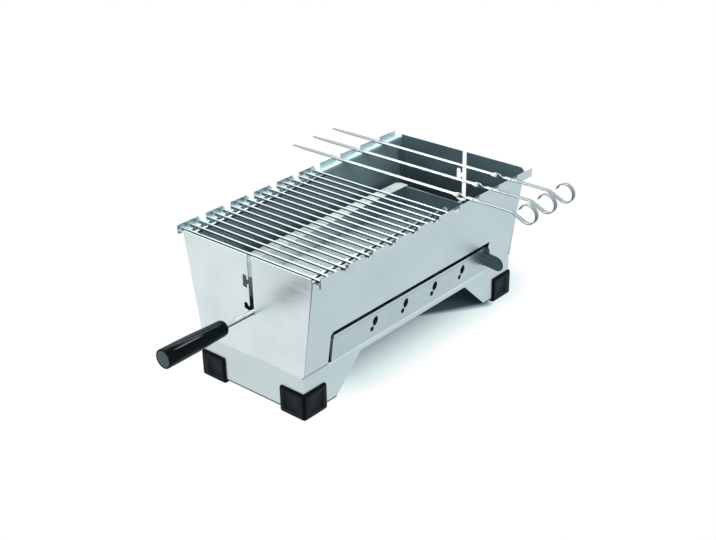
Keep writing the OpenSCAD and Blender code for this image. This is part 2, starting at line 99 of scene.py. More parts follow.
def growing_white(tree, centre, half, turn, reach, bend):
    """0 on the table inside a turned rectangle, growing to 1 at the reach outside it."""
    place = add_node(tree, "ShaderNodeTexCoord")
    shift = add_node(tree, "ShaderNodeVectorMath", operation="SUBTRACT")
    shift.inputs[1].default_value = (*centre, 0)
    turned_back = add_node(tree, "ShaderNodeVectorRotate", rotation_type="Z_AXIS")
    turned_back.inputs["Angle"].default_value = math.radians(-turn)
    mirrored = add_node(tree, "ShaderNodeVectorMath", operation="ABSOLUTE")
    outside = add_node(tree, "ShaderNodeVectorMath", operation="SUBTRACT")
    outside.inputs[1].default_value = (*half, 0)
    beyond = add_node(tree, "ShaderNodeVectorMath", operation="MAXIMUM")
    far_off = add_node(tree, "ShaderNodeVectorMath", operation="LENGTH")
    ramp = add_node(tree, "ShaderNodeMapRange")
    ramp.inputs["From Max"].default_value = reach
    soften = add_node(tree, "ShaderNodeMath", operation="POWER")
    soften.inputs[1].default_value = bend
    tree.links.new(place.outputs["Object"], shift.inputs[0])
    tree.links.new(shift.outputs[0], turned_back.inputs["Vector"])
    tree.links.new(turned_back.outputs[0], mirrored.inputs[0])
    tree.links.new(mirrored.outputs[0], outside.inputs[0])
    tree.links.new(outside.outputs[0], beyond.inputs[0])
    tree.links.new(beyond.outputs[0], far_off.inputs[0])
    tree.links.new(far_off.outputs["Value"], ramp.inputs["Value"])
    tree.links.new(ramp.outputs["Result"], soften.inputs[0])
    return soften.outputs[0]


def start_material(name):
    made = bpy.data.materials.new(name)
    made.use_nodes = True
    return made, made.node_tree, made.node_tree.nodes["Principled BSDF"]


# Painted shadow on the table: its dark colour, the blue tint of its glow, and the two boxes it grows
# out of
table_half = 4.0
table_drop = 0.2 * mm
table_shade = (0.12, 0.24, 0.28)
shadow_blue = (0.28, 0.36, 0.44)
shadow_pale = (0.86, 1.0, 1.0)
pale_share = 0.8
wide_shadow = {"centre": (0.12, 0.04), "half": (0.13, 0.04), "turn": 0, "reach": 0.105, "bend": 0.6}
arch_shadow = {"centre": (0.202, -0.0015), "half": (0.052, 0.05), "turn": -31, "reach": 0.018,
               "bend": 1.0}
bpy.ops.object.select_all(action="DESELECT")
bpy.ops.mesh.primitive_plane_add(size=2 * table_half, location=(0, 0, -table_drop))
table = bpy.context.object
table.name = "table"
bpy.ops.object.transform_apply(location=True, rotation=True, scale=True)
table_paint, tree, surface = start_material("white_table")
surface.inputs["Base Color"].default_value = (*table_shade, 1)
surface.inputs["Roughness"].default_value = 0.6
surface.inputs["Specular IOR Level"].default_value = 0.1
white = add_node(tree, "ShaderNodeEmission")
least = add_node(tree, "ShaderNodeMath", operation="MINIMUM")
share = add_node(tree, "ShaderNodeMath", operation="MULTIPLY")
blend = add_node(tree, "ShaderNodeMixShader")
blued = add_node(tree, "ShaderNodeValToRGB")
blued.color_ramp.elements[0].color = (*shadow_blue, 1)
blued.color_ramp.elements.new(pale_share).color = (*shadow_pale, 1)
tree.links.new(least.outputs[0], blued.inputs["Fac"])
tree.links.new(blued.outputs["Color"], white.inputs["Color"])
tree.links.new(growing_white(tree, **wide_shadow), least.inputs[0])
tree.links.new(growing_white(tree, **arch_shadow), least.inputs[1])
tree.links.new(least.outputs[0], share.inputs[0])
tree.links.new(seen_directly(tree), share.inputs[1])
tree.links.new(share.outputs[0], blend.inputs["Fac"])
tree.links.new(surface.outputs[0], blend.inputs[1])
tree.links.new(white.outputs[0], blend.inputs[2])
tree.links.new(blend.outputs[0], tree.nodes["Material Output"].inputs["Surface"])
table.data.materials.append(table_paint)

room_light = 0.85
world = bpy.data.worlds.new("studio")
bpy.context.scene.world = world
world.use_nodes = True
tree = world.node_tree
background = tree.nodes["Background"]
background.inputs["Color"].default_value = (1, 1, 1, 1)
level = add_node(tree, "ShaderNodeMapRange")
level.inputs["To Min"].default_value = room_light
level.inputs["To Max"].default_value = 1.0
tree.links.new(seen_directly(tree), level.inputs["Value"])
tree.links.new(level.outputs["Result"], background.inputs["Strength"])


def softbox(name, place, aim, wide, high, power):
    lamp = bpy.data.lights.new(name, "AREA")
    lamp.shape = "RECTANGLE"
    lamp.size = wide
    lamp.size_y = high
    lamp.energy = power
    box = bpy.data.objects.new(name, lamp)
    box.location = place
    box.rotation_euler = (Vector(aim) - Vector(place)).to_track_quat("-Z", "Y").to_euler()
    bpy.context.scene.collection.objects.link(box)


softbox("overhead_box", (-0.2, 0.35, 1.5), (0.05, 0, 0.1), 1.2, 0.9, 3.5)
softbox("back_box", (1.15, 1.4, 1.2), (0.05, 0, 0.15), 1.5, 1.1, 4)
softbox("left_box", (-1.5, 0.3, 0.8), (0, 0, 0.1), 0.7, 0.6, 1.5)
softbox("streak_box", (0.85, 0.4, 1.6), (-0.2, 0, 0.1), 0.9, 0.16, 6)
softbox("grip_box", (-0.5, -1.6, 1.2), (-0.2, 0, 0.1), 0.9, 0.3, 7)


# The skirt and the trough are folded from stainless sheet with a fine brushed grain along each
# sheet. Their inner sides are painted much darker, a painted shade that deepens low down.
def new_group(name, inputs, outputs):
    group = bpy.data.node_groups.new(name, "ShaderNodeTree")
    for label, kind, value in inputs:
        group.interface.new_socket(name=label, in_out="INPUT", socket_type=kind).default_value = value
    for label, kind in outputs:
        group.interface.new_socket(name=label, in_out="OUTPUT", socket_type=kind)
    return group, add_node(group, "NodeGroupInput"), add_node(group, "NodeGroupOutput")


def use_group(tree, group, **values):
    made = add_node(tree, "ShaderNodeGroup", node_tree=group)
    for label, value in values.items():
        made.inputs[label].default_value = value
    return made


# Fine lines along the grain, and soft marks left by hands and by wiping
grain_group, group_in, group_out = new_group(
    "brushed_grain", [("Stretch", "NodeSocketVector", (6, 400, 400))],
    [("Lines", "NodeSocketFloat"), ("Marks", "NodeSocketFloat")])
spot = add_node(grain_group, "ShaderNodeTexCoord")
pull = add_node(grain_group, "ShaderNodeVectorMath", operation="MULTIPLY")
fine = add_node(grain_group, "ShaderNodeTexNoise")
fine.inputs["Scale"].default_value = 1.0
fine.inputs["Detail"].default_value = 4.0
fine.inputs["Roughness"].default_value = 0.7
lines = add_node(grain_group, "ShaderNodeMapRange")
lines.inputs["From Min"].default_value = 0.3
lines.inputs["From Max"].default_value = 0.7
cloud = add_node(grain_group, "ShaderNodeTexNoise")
cloud.inputs["Scale"].default_value = 14.0
cloud.inputs["Detail"].default_value = 3.0
marks = add_node(grain_group, "ShaderNodeMapRange")
marks.inputs["From Min"].default_value = 0.42
marks.inputs["From Max"].default_value = 0.72
grain_group.links.new(spot.outputs["Object"], pull.inputs[0])
grain_group.links.new(group_in.outputs["Stretch"], pull.inputs[1])
grain_group.links.new(pull.outputs[0], fine.inputs["Vector"])
grain_group.links.new(fine.outputs["Fac"], lines.inputs["Value"])
grain_group.links.new(spot.outputs["Object"], cloud.inputs["Vector"])
grain_group.links.new(cloud.outputs["Fac"], marks.inputs["Value"])
grain_group.links.new(lines.outputs["Result"], group_out.inputs["Lines"])
grain_group.links.new(marks.outputs["Result"], group_out.inputs["Marks"])


def along_group(name, source, output):
    """A mask that grows from 0 to 1 as a normal or a place lies farther along a direction."""
    group, group_in, group_out = new_group(
        name, [("Direction", "NodeSocketVector", (0, 0, 1)), ("Begin", "NodeSocketFloat", 0.0),
               ("Full", "NodeSocketFloat", 1.0)], [("Mask", "NodeSocketFloat")])
    vector = add_node(group, source)
    along = add_node(group, "ShaderNodeVectorMath", operation="DOT_PRODUCT")
    ramp = add_node(group, "ShaderNodeMapRange")
    group.links.new(vector.outputs[output], along.inputs[0])
    group.links.new(group_in.outputs["Direction"], along.inputs[1])
    group.links.new(along.outputs["Value"], ramp.inputs["Value"])
    group.links.new(group_in.outputs["Begin"], ramp.inputs["From Min"])
    group.links.new(group_in.outputs["Full"], ramp.inputs["From Max"])
    group.links.new(ramp.outputs["Result"], group_out.inputs["Mask"])
    return group


facing_group = along_group("facing", "ShaderNodeNewGeometry", "Normal")
placed_group = along_group("placed_at", "ShaderNodeTexCoord", "Object")


def plug(tree, value, socket):
    """Feeds a socket from another one, or with a plain number or colour."""
    if isinstance(value, bpy.types.NodeSocket):
        tree.links.new(value, socket)
    elif socket.type == "RGBA":
        socket.default_value = (*value, 1)
    else:
        socket.default_value = value


def mix_colour(tree, factor, first, second, blend="MIX"):
    made = add_node(tree, "ShaderNodeMix", data_type="RGBA", blend_type=blend)
    plug(tree, factor, made.inputs[0])
    plug(tree, first, made.inputs[6])
    plug(tree, second, made.inputs[7])
    return made.outputs[2]


def mix_value(tree, factor, first, second):
    made = add_node(tree, "ShaderNodeMix", data_type="FLOAT")
    plug(tree, factor, made.inputs[0])
    plug(tree, first, made.inputs[2])
    plug(tree, second, made.inputs[3])
    return made.outputs[0]


def times(tree, first, second):
    made = add_node(tree, "ShaderNodeMath", operation="MULTIPLY")
    plug(tree, first, made.inputs[0])
    plug(tree, second, made.inputs[1])
    return made.outputs[0]


def add_relief(tree, height, strength, depth, surface):
    bump = add_node(tree, "ShaderNodeBump")
    bump.inputs["Strength"].default_value = strength
    bump.inputs["Distance"].default_value = depth
    tree.links.new(height, bump.inputs["Height"])
    tree.links.new(bump.outputs["Normal"], surface.inputs["Normal"])


# The masks of a tone: which way a surface faces, and where on the grill it lies. Front is the end
# with the grip, near is the side with the drawer.
def facing(direction, begin=0.35, full=0.6):
    return facing_group, direction, begin, full


def placed_at(direction, begin, full):
    return placed_group, direction, begin, full


def behind(x, fade=1 * mm):
    return placed_at((1, 0, 0), x, x + fade)


def before(x, fade=1 * mm):
    return placed_at((-1, 0, 0), -x, fade - x)


def farther(y, fade=1 * mm):
    return placed_at((0, 1, 0), y, y + fade)


def nearer(y, fade=1 * mm):
    return placed_at((0, -1, 0), -y, fade - y)


def above(z, fade=1 * mm):
    return placed_at((0, 0, 1), z, z + fade)


def below(z, fade=1 * mm):
    return placed_at((0, 0, -1), -z, fade - z)


front_side = facing((-1, 0, 0))
rear_side = facing((1, 0, 0))
near_side = facing((0, -1, 0))
far_side = facing((0, 1, 0))
upper_side = facing((0, 0, 1))
under_side = facing((0, 0, -1))
stain_colour = (0.01, 0.012, 0.013)
stain_on_dull = 0.3
stain_on_bright = 0.06
smoother = 0.05
rougher = 0.06


def toned(tree, colour, metallic, tones):
    """Each tone gives its colour and its metallic share to where all its masks meet."""
    for tone, metal, masks in tones:
        where = 1.0
        for group, direction, begin, full in masks:
            mask = use_group(tree, group, Direction=direction, Begin=begin, Full=full)
            where = times(tree, where, mask.outputs["Mask"])
        colour = mix_colour(tree, where, colour, tone)
        metallic = mix_value(tree, where, metallic, metal)
    return colour, metallic


def steel(name, colour, roughness, stretch, tones=(), contrast=0.03, relief_depth=0.04 * mm):
    made, tree, surface = start_material(name)
    grain = use_group(tree, grain_group, Stretch=stretch)
    colour, metallic = toned(tree, colour, 1.0, tones)
    stain = times(tree, grain.outputs["Marks"],
                  mix_value(tree, metallic, stain_on_dull, stain_on_bright))
    colour = mix_colour(tree, stain, colour, stain_colour)
    lines = mix_colour(tree, grain.outputs["Lines"], (1 - contrast,) * 3, (1.0, 1.0, 1.0))
    plug(tree, mix_colour(tree, 1.0, colour, lines, "MULTIPLY"), surface.inputs["Base Color"])
    plug(tree, metallic, surface.inputs["Metallic"])
    plug(tree, mix_value(tree, grain.outputs["Lines"], roughness - smoother, roughness + rougher),
         surface.inputs["Roughness"])
    add_relief(tree, grain.outputs["Lines"], 0.25, relief_depth, surface)
    return made


def dress(part, material):
    part.data.materials.clear()
    part.data.materials.append(material)


# Painted shade for the walls' inner sides, with a darker painted shade towards the bottom
painted_inner_shade = (0.2, 0.305, 0.335)
painted_low_shade = (0.065, 0.095, 0.105)
inner_shade_metal = 0.25
black_from = 160 * mm
black_fade = 50 * mm


def inside(inner_side, top=1.0, shade_tone=painted_inner_shade):
    """A wall's inner side up to a height: painted shade all over, and a darker painted shade low
    down.
    """
    within = [inner_side, below(top)]
    return [(shade_tone, inner_shade_metal, within),
            (painted_low_shade, inner_shade_metal, within + [below(black_from, black_fade)])]


wall_colour = (0.52, 0.64, 0.67)
# The front wall is painted lighter than the other walls: painted light on its brighter face
front_lit_colour = (0.76, 0.845, 0.86)
skirt_colour = (0.60, 0.69, 0.705)
skirt_near_shade = (0.53, 0.65, 0.68)
skirt_inner_shade = (0.035, 0.05, 0.057)
skirt_band_highlight = (0.74, 0.86, 0.88)
front_fold_highlight = (0.98, 0.99, 1.0)
painted_gap_shade = (0.1, 0.13, 0.14)
corner_shade_grey = (0.2, 0.26, 0.28)
rear_inner_shade = (0.105, 0.17, 0.19)
along_trough = (7, 420, 420)
across_trough = (420, 7, 420)
skirt_low, skirt_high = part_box("base_frame")
skirt_foot = skirt_low[2]
skirt_top = skirt_high[2]
trough_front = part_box("near_wall")[0][0]
drawer_low, drawer_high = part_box("drawer_front")
mouth_front = drawer_low[0] - 3 * mm
mouth_rear = drawer_high[0]
ledge_top = 183.5 * mm
# Beyond these places, a face that looks back at the middle is an inner side
inner_far = 30 * mm
inner_near = -30 * mm
inner_rear = 100 * mm
inner_front = -50 * mm
soft = 10 * mm
# The near side of the skirt is painted darker than its front: painted shade
skirt_tones = [(skirt_near_shade, 1.0, [near_side]),
               # A painted highlight along the fold at the top of the near side
               (skirt_band_highlight, 0.7, [near_side, above(skirt_top - 5 * mm, 4 * mm),
                                  behind(mouth_front), before(mouth_rear)]),
               # A painted highlight along the top fold of the front
               (front_fold_highlight, 0.2, [front_side, above(skirt_top - 1.9 * mm, 0.6 * mm)]),
               # Painted shade lines: in the joint below the near wall, and along the skirt's bottom
               # edge
               (painted_gap_shade, 0.6, [near_side, above(skirt_top - 1.2 * mm, 0.4 * mm),
                                 before(mouth_front)]),
               (painted_gap_shade, 0.6, [below(skirt_foot + 2.2 * mm, 0.4 * mm)]),
               # Painted shade on the skirt's underside and on its inner faces
               (skirt_inner_shade, 0.5, [under_side]),
               (skirt_inner_shade, 0.5, [near_side, farther(inner_far, soft)]),
               (skirt_inner_shade, 0.5, [far_side, nearer(inner_near, soft)]),
               (skirt_inner_shade, 0.5, [front_side, behind(inner_rear, soft)]),
               (skirt_inner_shade, 0.5, [rear_side, before(inner_front, soft)])]
dress(node["base_frame"], steel("skirt_steel", skirt_colour, 0.32, along_trough, skirt_tones))
# The floor plate is painted nearly black: painted shade for where it lies under the grill
dress(node["floor_plate"], steel("floor_steel", (0.06, 0.07, 0.075), 0.5, along_trough))
# A painted shade line down the near wall's front edge, where it meets the front wall
corner_shade_line = (corner_shade_grey, 1.0, [before(trough_front + 1.1 * mm, 0.4 * mm)])
rail_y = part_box("near_wall")[0][1]
# Painted light on the far ledge's top, painted shade on the near ledge's top, and a painted shadow on
# its inner strip under the grate
on_ledge = facing((0, 0, 1), 0.8, 0.95)
far_ledge_highlight = ((0.68, 0.86, 0.9), 0.5, [on_ledge])
near_ledge_shade = ((0.46, 0.56, 0.58), 0.1, [on_ledge])
near_ledge_shadow = ((0.015, 0.02, 0.023), 0.3, [on_ledge, farther(rail_y + 5.2 * mm, 0.6 * mm)])
dress(node["near_wall"], steel("near_wall_steel", wall_colour, 0.34, along_trough,
                               inside(far_side, ledge_top) + [near_ledge_shade, near_ledge_shadow,
                                                              corner_shade_line]))
dress(node["far_wall"], steel("far_wall_steel", wall_colour, 0.34, along_trough,
                              inside(near_side, ledge_top) + [far_ledge_highlight]))
dress(node["front_wall"], steel("front_wall_steel", front_lit_colour, 0.34, across_trough,
                                [(front_lit_colour, 0.8, [front_side])] + inside(rear_side),
                                0.008, 0.003 * mm))
# The rear wall's inner side gets a darker painted shade
dress(node["rear_wall"], steel("rear_wall_steel", wall_colour, 0.34, across_trough,
                               inside(front_side, shade_tone=rear_inner_shade)))


# Four moulded black rubber corners are pushed up over the skirt's edges. Each is an L with a slot
# for the sheet, a wide soft bevel round its outer faces and a rounded upright corner.
def take(part):
    """Makes a piece the active one and the only one that is selected."""
    bpy.ops.object.select_all(action="DESELECT")
    part.select_set(True)
    bpy.context.view_layer.objects.active = part


def copy_of(part):
    again = part.copy()
    again.data = part.data.copy()
    bpy.context.scene.collection.objects.link(again)
    return again


def edit(part):
    take(part)
    bpy.ops.object.mode_set(mode="EDIT")
    bpy.ops.mesh.select_all(action="DESELECT")


def done():
    bpy.ops.object.mode_set(mode="OBJECT")
    bpy.ops.object.select_all(action="DESELECT")


def pick(part, kind, wanted):
    """Selects the faces or edges of a piece in edit mode that pass a test."""
    bpy.ops.mesh.select_mode(type="FACE" if kind == "faces" else "EDGE")
    bpy.ops.mesh.select_all(action="DESELECT")
    shape = bmesh.from_edit_mesh(part.data)
    shape.normal_update()
    for item in getattr(shape, kind):
        if wanted(item):
            item.select_set(True)
    bmesh.update_edit_mesh(part.data)


def extrude_by(*move):
    bpy.ops.mesh.extrude_region_move(TRANSFORM_OT_translate={"value": move})


def block(name, low, high):
    bpy.ops.object.select_all(action="DESELECT")
    middle = [(a + b) / 2 for a, b in zip(low, high)]
    bpy.ops.mesh.primitive_cube_add(size=1, location=middle)
    made = bpy.context.object
    made.name = name
    made.scale = [b - a for a, b in zip(low, high)]
    bpy.ops.object.transform_apply(location=True, rotation=True, scale=True)
    return made


def cut_away(part, low, high):
    cutter = block("cutter", low, high)
    take(part)
    cut = part.modifiers.new("cut", "BOOLEAN")
    cut.operation = "DIFFERENCE"
    cut.object = cutter
    bpy.ops.object.modifier_apply(modifier="cut")
    bpy.data.objects.remove(cutter)


def tidy_normals(part):
    edit(part)
    bpy.ops.mesh.select_all(action="SELECT")
    bpy.ops.mesh.remove_doubles(threshold=0.001 * mm)
    bpy.ops.mesh.normals_make_consistent(inside=False)
    done()


def smooth(part, angle=32):
    take(part)
    bpy.ops.object.shade_smooth_by_angle(angle=math.radians(angle))
    bpy.ops.object.select_all(action="DESELECT")


# Dust and light scuffs on black rubber and plastic
scuff_group, group_in, group_out = new_group(
    "scuffs", [("Size", "NodeSocketFloat", 55.0)],
    [("Scuff", "NodeSocketFloat"), ("Grit", "NodeSocketFloat")])
spot = add_node(scuff_group, "ShaderNodeTexCoord")
broad = add_node(scuff_group, "ShaderNodeTexNoise")
broad.inputs["Detail"].default_value = 5.0
worn = add_node(scuff_group, "ShaderNodeMapRange")
worn.inputs["From Min"].default_value = 0.5
worn.inputs["From Max"].default_value = 0.8
grit = add_node(scuff_group, "ShaderNodeTexNoise")
grit.inputs["Scale"].default_value = 1800.0
grit.inputs["Detail"].default_value = 2.0
scuff_group.links.new(spot.outputs["Object"], broad.inputs["Vector"])
scuff_group.links.new(group_in.outputs["Size"], broad.inputs["Scale"])
scuff_group.links.new(broad.outputs["Fac"], worn.inputs["Value"])
scuff_group.links.new(spot.outputs["Object"], grit.inputs["Vector"])
scuff_group.links.new(worn.outputs["Result"], group_out.inputs["Scuff"])
scuff_group.links.new(grit.outputs["Fac"], group_out.inputs["Grit"])


def moulded(name, colour, worn_colour, roughness, shine, grit_depth, tones=()):
    made, tree, surface = start_material(name)
    surface.inputs["Specular IOR Level"].default_value = shine
    scuffs = use_group(tree, scuff_group)
    colour = mix_colour(tree, scuffs.outputs["Scuff"], colour, worn_colour)
    plug(tree, toned(tree, colour, 0.0, tones)[0], surface.inputs["Base Color"])
    plug(tree, mix_value(tree, scuffs.outputs["Scuff"], roughness, roughness + rougher),
         surface.inputs["Roughness"])
    add_relief(tree, scuffs.outputs["Grit"], 0.4, grit_depth, surface)
    return made


rubber_black = (0.0015, 0.003, 0.004)
rubber_worn = (0.003, 0.005, 0.006)
rubber_face = (0.009, 0.018, 0.023)
foot_rubber = moulded("foot_rubber", rubber_black, rubber_worn, 0.4, 0.06, 0.04 * mm,
                      [(rubber_face, 0.0, [facing(side, 0.97, 0.998)])
                       for side in ((-1, 0, 0), (1, 0, 0), (0, -1, 0), (0, 1, 0))])
foot_low, foot_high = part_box("foot_front_near")
foot_x, foot_y = foot_low[0], foot_low[1]
foot_reach = foot_high[0] - foot_low[0]
foot_height = foot_high[2] - foot_low[2]
foot_shell = 3.0 * mm
skirt_sheet = 1.2 * mm
foot_inner = 4.0 * mm
foot_thick = foot_shell + skirt_sheet + foot_inner
foot_rim = 3.2 * mm
foot_round = 4.0 * mm
foot_inner_height = foot_height / 2
panel_margin = 3.5 * mm
panel_slope = 0.6 * mm
panel_depth = 0.35 * mm
slack = 0.1 * mm
overshoot = 5 * mm
foot = block("foot_front_near_rubber", (foot_x, foot_y, foot_low[2]),
             (foot_x + foot_thick, foot_y + foot_thick, foot_high[2]))
edit(foot)
pick(foot, "faces", lambda face: face.normal.x > 0.9)
extrude_by(foot_reach - foot_thick, 0, 0)
pick(foot, "faces", lambda face: face.normal.y > 0.9
     and face.calc_center_median().x < foot_x + foot_thick)
extrude_by(0, foot_reach - foot_thick, 0)
pick(foot, "edges", lambda edge: all(vert.co.x < foot_x + slack and vert.co.y < foot_y + slack
                                     for vert in edge.verts))
bpy.ops.mesh.bevel(offset=foot_round, segments=6, affect="EDGES")


def outward(face):
    return abs(face.normal.z) < 0.1 and (face.normal.x < -0.1 or face.normal.y < -0.1)


def at_an_end(edge):
    level = abs(edge.verts[0].co.z - edge.verts[1].co.z) < slack
    return level and any(all(vert.co[axis] > start + foot_reach - slack for vert in edge.verts)
                         for axis, start in ((0, foot_x), (1, foot_y)))


pick(foot, "edges", lambda edge: at_an_end(edge)
     or outward(edge.link_faces[0]) != outward(edge.link_faces[1]))
bpy.ops.mesh.bevel(offset=foot_rim, segments=4, affect="EDGES")
pick(foot, "faces", lambda face: face.calc_area() > 0.4 * foot_reach * foot_height
     and outward(face))
bpy.ops.mesh.inset(thickness=panel_margin, use_individual=True)
bpy.ops.mesh.inset(thickness=panel_slope, depth=-panel_depth, use_individual=True)
done()
cut_away(foot, (foot_x + foot_shell, foot_y + foot_shell, foot_inner_height),
         (foot_x + 2 * foot_reach, foot_y + 2 * foot_reach, foot_height + overshoot))
cut_away(foot, (foot_x + foot_shell, foot_y + foot_shell, skirt_foot),
         (foot_x + 2 * foot_reach, foot_y + foot_shell + skirt_sheet, foot_height))
cut_away(foot, (foot_x + foot_shell, foot_y + foot_shell, skirt_foot),
         (foot_x + foot_shell + skirt_sheet, foot_y + 2 * foot_reach, foot_height))
tidy_normals(foot)
smooth(foot)
dress(foot, foot_rubber)

middle_x = (skirt_low[0] + skirt_high[0]) / 2
middle_y = (skirt_low[1] + skirt_high[1]) / 2
for end, across in (("front", "near"), ("front", "far"), ("rear", "near"), ("rear", "far")):
    corner = "foot_%s_%s" % (end, across)
    if corner == "foot_front_near":
        piece = foot
    else:
        piece = copy_of(foot)
        piece.name = corner + "_rubber"
        to_middle = Matrix.Translation((-middle_x, -middle_y, 0))
        flip = Matrix.Diagonal((-1 if end == "rear" else 1, -1 if across == "far" else 1, 1, 1))
        piece.data.transform(to_middle.inverted() @ flip @ to_middle)
        if flip.determinant() < 0:
            piece.data.flip_normals()
    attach(piece, "grill")
    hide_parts(corner)


# Six steel rivets hold the floor plate down on the skirt's flange, with a low dome above it and a
# flat head below.
def turned(name, place, along, stations, sides):
    """A round piece, built up ring by ring: each station is a distance and a radius."""
    bpy.ops.object.select_all(action="DESELECT")
    bpy.ops.mesh.primitive_circle_add(vertices=sides, radius=stations[0][1], fill_type="NGON",
                                      location=(0, 0, stations[0][0]))
    made = bpy.context.object
    made.name = name
    bpy.ops.object.mode_set(mode="EDIT")
    for (distance, radius), (far_off, far_radius) in zip(stations, stations[1:]):
        extrude_by(0, 0, far_off - distance)
        grow = far_radius / radius
        bpy.ops.transform.resize(value=(grow, grow, 1))
    bpy.ops.mesh.select_all(action="SELECT")
    bpy.ops.mesh.normals_make_consistent(inside=False)
    bpy.ops.object.mode_set(mode="OBJECT")
    made.rotation_euler = Vector(along).to_track_quat("Z", "Y").to_euler()
    made.location = Vector(place) + made.rotation_euler.to_matrix() @ made.location
    bpy.ops.object.transform_apply(location=True, rotation=True, scale=True)
    return made


def join(first, others):
    take(first)
    for other in others:
        other.select_set(True)
    bpy.ops.object.join()
    bpy.ops.object.select_all(action="DESELECT")


def repeat(first, places):
    """Copies a piece from the first place to all the others and joins them into one."""
    others = []
    for place in places[1:]:
        again = copy_of(first)
        again.data.transform(Matrix.Translation(Vector(place) - Vector(places[0])))
        others.append(again)
    join(first, others)


bright_colour = (0.82, 0.86, 0.87)
rivet_steel = steel("rivet_steel", bright_colour, 0.3, (60, 60, 60))
rivet_low, rivet_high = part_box("base_rivets")
rivet_r = 3.2 * mm
shank_r = 1.6 * mm
head_t = 1.0 * mm
dome_z = 3.2 * mm
rivet_spots = [(x, y, rivet_low[2]) for x in (rivet_low[0] + rivet_r, rivet_high[0] - rivet_r)
               for y in (rivet_low[1] + rivet_r, middle_y, rivet_high[1] - rivet_r)]
rivets = turned("floor_rivets", rivet_spots[0], (0, 0, 1),
                [(0, 2.7 * mm), (0.25 * mm, rivet_r), (head_t, rivet_r), (head_t, shank_r),
                 (dome_z, shank_r), (dome_z, rivet_r), (dome_z + 0.3 * mm, 3.0 * mm),
                 (dome_z + 0.8 * mm, 2.2 * mm), (dome_z + 1.1 * mm, 1.2 * mm),
                 (dome_z + 1.2 * mm, 0.3 * mm)], 24)
repeat(rivets, rivet_spots)
smooth(rivets)
dress(rivets, rivet_steel)
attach(rivets, "grill")
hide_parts("base_rivets")


# The ash drawer is a folded tray with a thicker front, hemmed along its top, pierced by four pairs
# of air vents and bent out at its rear end into a pull tab. It slides between two angle guides.
drawer_top = drawer_high[2]
sheet = 1.0 * mm
hem_line = drawer_top - 4.0 * mm
drawer_colour = (0.46, 0.57, 0.60)
shadow_dark = (0.01, 0.014, 0.016)
tab_front_shade = (0.08, 0.115, 0.13)
tab_rim_highlight = (0.9, 0.95, 0.96)
painted_shade_steel = (0.05, 0.06, 0.065)
tab_from_y = -90 * mm
# The wall stands out farther the higher it is, so the shadow of its edge widens upwards
shadow_lean = 0.165
shadow_edge = shadow_lean * skirt_top - drawer_low[0] - 1.6 * mm
# The drawer's steel has painted shade on the faces that look forwards and on its inner side, a
# painted highlight on the tab's rounded rim, and a painted shadow line beside the wall's edge
drawer_steel = steel("drawer_steel", drawer_colour, 0.3, along_trough,
                     [(tab_front_shade, 0.6, [front_side]),
                      (painted_shade_steel, 0.5, [far_side]),
                      (tab_rim_highlight, 0.2, [facing((0, -1, 0), 0.1, 0.2), nearer(tab_from_y)]),
                      (shadow_dark, 0.4, [near_side, placed_at((-1, 0, shadow_lean), shadow_edge,
                                                               shadow_edge + 0.4 * mm)]),
                      # A painted shade line under the hem
                      (painted_gap_shade, 0.6, [near_side, below(hem_line, 0.2 * mm),
                                        above(hem_line - 0.9 * mm, 0.2 * mm)])])
# The tray is painted darker than the drawer front: painted shade for the inside of the closed drawer
tray_steel = steel("tray_steel", (0.3, 0.36, 0.38), 0.4, along_trough)
dress(node["drawer_front"], drawer_steel)
tab_face = drawer_high[0]
front_face = drawer_high[1] - sheet
root_reach = 7 * mm
root_low = skirt_top + 24 * mm
root_round = 2.5 * mm
root_bite = 0.2 * mm
sharp_edge = 0.15 * mm
tab_root = block("pull_tab_root", (tab_face - sheet, front_face - root_reach, root_low),
                 (tab_face, front_face + root_bite, drawer_top))
edit(tab_root)
pick(tab_root, "edges", lambda edge: all(vert.co.y < front_face - root_reach + slack
                                         and vert.co.z > drawer_top - slack
                                         for vert in edge.verts))
bpy.ops.mesh.bevel(offset=root_round, segments=5, affect="EDGES")
bpy.ops.mesh.select_all(action="SELECT")
bpy.ops.mesh.bevel(offset=sharp_edge, segments=1, affect="EDGES")
done()
tidy_normals(tab_root)
dress(tab_root, drawer_steel)
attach(tab_root, "ash_drawer")
dress(node["drawer_tray"], tray_steel)
dress(node["runner_front"], steel("shaded_runner_steel", painted_shade_steel, 0.45, along_trough))
dress(node["runner_rear"], steel("runner_steel", (0.35, 0.42, 0.44), 0.4, along_trough))


# The charcoal pan is pressed from sheet, with a wide flange along each side and staggered air holes
# in its floor. It hangs in both end walls: on the long shaft in front and on a short pin at the rear.
pan_floor_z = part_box("charcoal_pan")[0][2]
pan_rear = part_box("charcoal_pan")[1][0]
